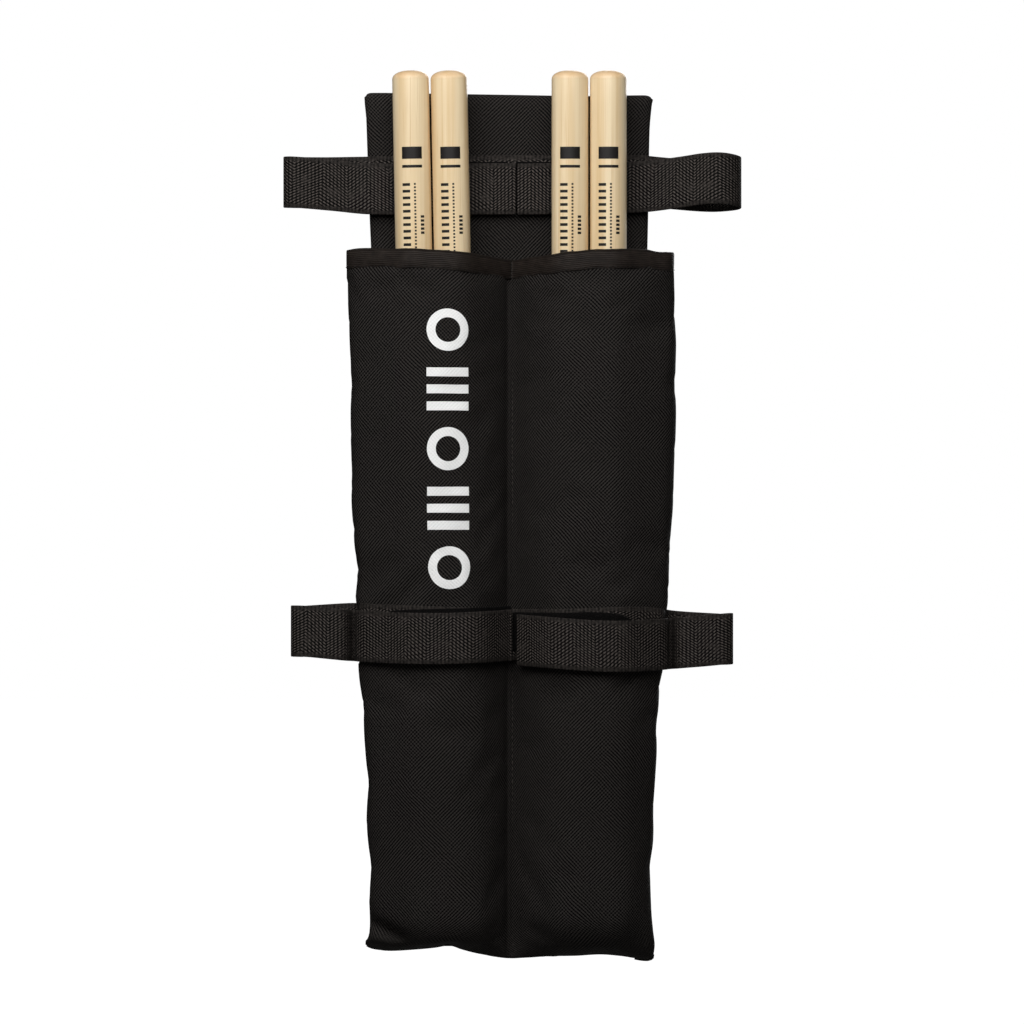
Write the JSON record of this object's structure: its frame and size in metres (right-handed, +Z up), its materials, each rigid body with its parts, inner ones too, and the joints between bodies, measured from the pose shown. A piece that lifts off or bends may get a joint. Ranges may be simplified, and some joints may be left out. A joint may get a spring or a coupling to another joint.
{
  "type": "drum stick bag",
  "caption": "Padded fabric stick bag with pockets on a flat back panel, straps that form loops at the sides, and drum sticks standing in the pockets.",
  "frame": {"origin": "on the rear face, on the centre line, level with the middle of the upper strap", "axes": "+Z up along the sticks, +Y out of the rear face, +X to the right as seen from the front"},
  "size_m": [0.226, 0.0417, 0.4404],
  "materials": {
    "woven_nylon": "fine diagonal weave, warm near-black",
    "lining": "smooth nylon, very dark brown",
    "foam": "closed-cell foam, hidden inside",
    "binding": "smooth folded nylon",
    "webbing": "herringbone webbing, charcoal",
    "tape": "hook and pile tape, black",
    "thread": "grey stitching",
    "wood": "pale hickory, clear satin lacquer"
  },
  "bodies": {
    "bag": {"rear_cloth": "woven_nylon", "front_cloth": "woven_nylon", "panel_foam": "foam", "pocket_cloth": "woven_nylon", "pocket_foam_left": "foam", "pocket_foam_right": "foam", "pocket_lining": "lining", "mouth_binding": "binding", "bottom_seam_allowance": "lining", "centre_seam_thread": "thread", "upper_strap": "webbing", "upper_strap_thread": "thread", "lower_strap": "webbing", "lower_strap_thread": "thread", "upper_left_tab": "webbing", "upper_left_bend": "webbing", "upper_left_pile_tape": "tape", "upper_left_hook_tape": "tape", "lower_left_pile_tape": "tape", "lower_left_fold": "webbing", "upper_right_tab": "webbing", "upper_right_bend": "webbing", "upper_right_pile_tape": "tape", "upper_right_hook_tape": "tape", "lower_right_pile_tape": "tape", "lower_right_fold": "webbing"},
    "upper_left_loop": {"upper_left_loop": "webbing"},
    "upper_right_loop": {"upper_right_loop": "webbing"},
    "lower_left_flap": {"lower_left_flap": "webbing", "lower_left_hook_tape": "tape"},
    "lower_right_flap": {"lower_right_flap": "webbing", "lower_right_hook_tape": "tape"},
    "stick_left_outer": {"stick_left_outer": "wood"},
    "stick_left_inner": {"stick_left_inner": "wood"},
    "stick_right_inner": {"stick_right_inner": "wood"},
    "stick_right_outer": {"stick_right_outer": "wood"}
  },
  "joints": [
    {"name": "upper_left_swing", "type": "hinge", "parent": "bag", "child": "upper_left_loop", "pos_m": [-0.07251, -0.00935, 0], "axis": [0, 0, 1], "range_deg": [-75, 75], "deforming": ["upper_left_bend"]},
    {"name": "upper_right_swing", "type": "hinge", "parent": "bag", "child": "upper_right_loop", "pos_m": [0.07251, -0.00935, 0], "axis": [0, 0, 1], "range_deg": [-75, 75], "deforming": ["upper_right_bend"]},
    {"name": "lower_left_open", "type": "hinge", "parent": "bag", "child": "lower_left_flap", "pos_m": [-0.1029, -0.01245, -0.224], "axis": [0, 0, -1], "range_deg": [0, 170], "deforming": ["lower_left_fold"]},
    {"name": "lower_right_open", "type": "hinge", "parent": "bag", "child": "lower_right_flap", "pos_m": [0.1029, -0.01245, -0.224], "axis": [0, 0, 1], "range_deg": [0, 170], "deforming": ["lower_right_fold"]},
    {"name": "stick_left_outer_slide", "type": "slide", "parent": "bag", "child": "stick_left_outer", "axis": [-0.0192, 0, 0.9998], "range_m": [0, 0.36]},
    {"name": "stick_left_inner_slide", "type": "slide", "parent": "bag", "child": "stick_left_inner", "axis": [-0.0192, 0, 0.9998], "range_m": [0, 0.36]},
    {"name": "stick_right_inner_slide", "type": "slide", "parent": "bag", "child": "stick_right_inner", "axis": [0, 0, 1], "range_m": [0, 0.36]},
    {"name": "stick_right_outer_slide", "type": "slide", "parent": "bag", "child": "stick_right_outer", "axis": [0, 0, 1], "range_m": [0, 0.36]}
  ]
}
